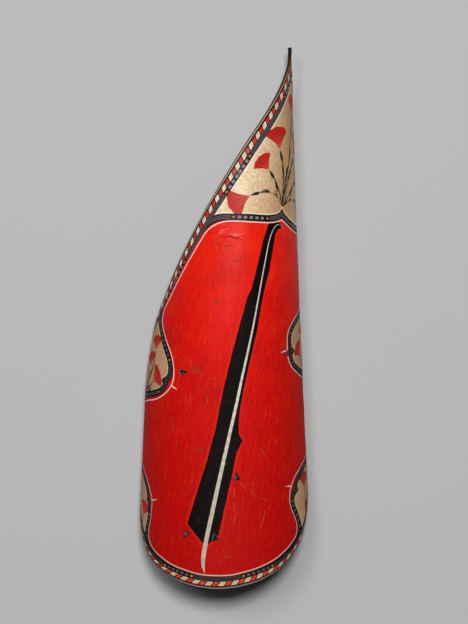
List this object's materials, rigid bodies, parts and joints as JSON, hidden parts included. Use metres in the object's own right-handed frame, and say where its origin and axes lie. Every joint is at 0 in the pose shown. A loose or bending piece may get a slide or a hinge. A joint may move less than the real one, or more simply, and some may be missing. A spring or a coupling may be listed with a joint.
{
  "type": "hungarian shield",
  "caption": "Painted wooden Hungarian shield: a deep half-round vault with a rounded foot and a swept, pointed top, lying on its long edges.",
  "frame": {"origin": "middle of the overall width and length, on the plane of the two long resting edges", "axes": "+Y along the shield from the rounded foot to the point, +X towards the side that carries the point, +Z out of the painted face at the crown"},
  "size_m": [0.2932, 0.9279, 0.2028],
  "materials": {
    "painted_board": "old red paint with a painted border and a black feather under a worn varnish",
    "wrought_iron": "dark forged iron, rubbed on the edges"
  },
  "bodies": {
    "root": {"shield_board": "painted_board", "nail_left_field": "wrought_iron", "nail_beside_feather": "wrought_iron", "nail_feather_left": "wrought_iron", "nail_feather_right": "wrought_iron", "nail_right_cusp": "wrought_iron"}
  },
  "joints": []
}
